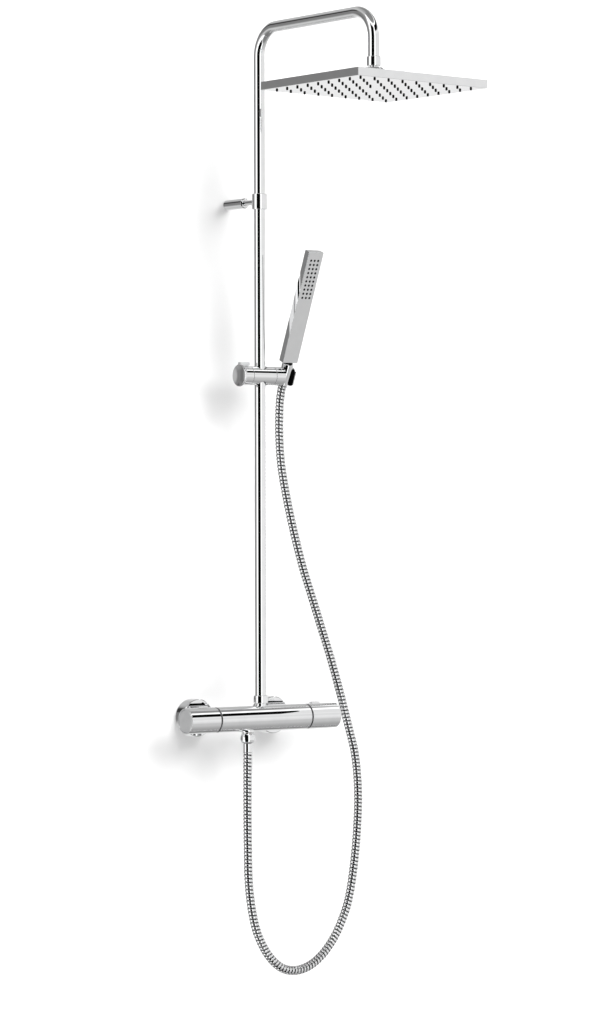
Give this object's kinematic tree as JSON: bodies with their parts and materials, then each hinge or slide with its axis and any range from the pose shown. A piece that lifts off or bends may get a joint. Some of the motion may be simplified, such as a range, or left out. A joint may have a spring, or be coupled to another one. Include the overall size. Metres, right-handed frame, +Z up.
{
  "type": "rainfall shower column",
  "caption": "Wall shower column: thermostatic bar mixer, tall riser with an overhead arm, square rain head, and a slim hand shower on a sliding holder with a flexible hose.",
  "frame": {"origin": "on the wall plane, midway between the two inlets, at the height of the mixer bar's axis", "axes": "+Z up, -Y straight out of the wall, +X to the right as seen from the room"},
  "size_m": [0.3598, 0.5162, 1.5359],
  "materials": {
    "chrome": "polished",
    "brass": "machined",
    "steel": "satin",
    "hose_metal": "polished, interlocked",
    "dark_plastic": "matte",
    "white_plastic": "matte",
    "grey_plastic": "satin",
    "rubber": "matte"
  },
  "bodies": {
    "root": {"mixer_body": "chrome", "left_union": "chrome", "right_union": "chrome", "left_union_nut": "chrome", "right_union_nut": "chrome", "left_wall_flange": "chrome", "right_wall_flange": "chrome", "left_inlet_filter": "rubber", "right_inlet_filter": "rubber", "left_check_valve": "white_plastic", "right_check_valve": "white_plastic", "diverter_cartridge": "brass", "thermostat_cartridge": "brass", "left_stop_ring": "dark_plastic", "right_stop_ring": "dark_plastic", "riser_nut": "chrome", "riser_seal": "rubber", "riser_tube": "chrome", "arm_tube": "chrome", "post_collar": "chrome", "collar_grub_screw": "steel", "post_rod": "chrome", "post_sleeve": "chrome", "post_anchor": "brass", "arm_nut": "chrome", "swivel_ball": "steel", "outlet_nipple": "brass", "lower_hose_nut": "chrome", "lower_ferrule": "chrome", "hose_lower": "hose_metal", "hose_rise": "hose_metal"},
    "left_handle": {"left_handle": "chrome", "left_handle_cap": "chrome", "left_handle_screw": "steel", "left_spindle": "brass"},
    "left_button": {"left_button": "chrome"},
    "right_handle": {"right_handle": "chrome", "right_handle_cap": "chrome", "right_handle_screw": "steel", "right_spindle": "brass"},
    "right_button": {"right_button": "chrome"},
    "head_seat": {"ball_seat": "white_plastic"},
    "head": {"ball_collar": "chrome", "head_boss": "chrome", "head_shell": "chrome", "head_tray": "white_plastic", "nozzle_mat": "rubber", "head_face": "chrome"},
    "slider": {"slider_bush": "dark_plastic", "hose_bend": "hose_metal"},
    "holder": {"holder_body": "chrome", "hose_tilt": "hose_metal"},
    "lock_knob": {"holder_knob": "chrome", "holder_lever": "grey_plastic"},
    "socket": {"holder_socket": "chrome"},
    "hand_shower": {"handset_body": "chrome", "handset_nozzles": "rubber", "cone_nut": "chrome", "hose_top": "hose_metal"}
  },
  "joints": [
    {"name": "flow_handle", "type": "hinge", "parent": "root", "child": "left_handle", "pos_m": [-0.09, -0.089, 0], "axis": [1, 0, 0], "range_deg": [-90, 90]},
    {"name": "flow_button", "type": "slide", "parent": "left_handle", "child": "left_button", "axis": [0, -0.2079, -0.9781], "range_m": [0, 0.0018], "stiffness_N_per_m": 400, "springref_m": -0.001},
    {"name": "temperature_handle", "type": "hinge", "parent": "root", "child": "right_handle", "pos_m": [0.09, -0.089, 0], "axis": [1, 0, 0], "range_deg": [-100, 60]},
    {"name": "safety_button", "type": "slide", "parent": "right_handle", "child": "right_button", "axis": [0, -0.2079, -0.9781], "range_m": [0, 0.0018], "stiffness_N_per_m": 400, "springref_m": -0.001},
    {"name": "head_roll", "type": "hinge", "parent": "root", "child": "head_seat", "pos_m": [0, -0.3912, 1.009], "axis": [1, 0, 0], "range_deg": [-7, 7]},
    {"name": "head_pitch", "type": "hinge", "parent": "head_seat", "child": "head", "pos_m": [0, -0.3912, 1.009], "axis": [0, 1, 0], "range_deg": [-7, 7]},
    {"name": "holder_slide", "type": "slide", "parent": "root", "child": "slider", "axis": [0, 0, 1], "range_m": [-0.3, 0.24], "deforming": ["hose_rise", "hose_lower"]},
    {"name": "holder_turn", "type": "hinge", "parent": "slider", "child": "holder", "pos_m": [0, -0.089, 0.5508], "axis": [0, 0, 1], "range_deg": [-45, 45], "deforming": ["hose_bend"]},
    {"name": "lock_lever", "type": "hinge", "parent": "holder", "child": "lock_knob", "pos_m": [0, -0.089, 0.5508], "axis": [1, 0, 0], "range_deg": [-60, 60]},
    {"name": "socket_tilt", "type": "hinge", "parent": "holder", "child": "socket", "pos_m": [0, -0.089, 0.5508], "axis": [1, 0, 0], "range_deg": [-20, 35], "deforming": ["hose_tilt"]},
    {"name": "handset_lift", "type": "slide", "parent": "socket", "child": "hand_shower", "axis": [0, -0.3811, 0.9245], "range_m": [0, 0.035], "deforming": ["hose_top"]}
  ]
}
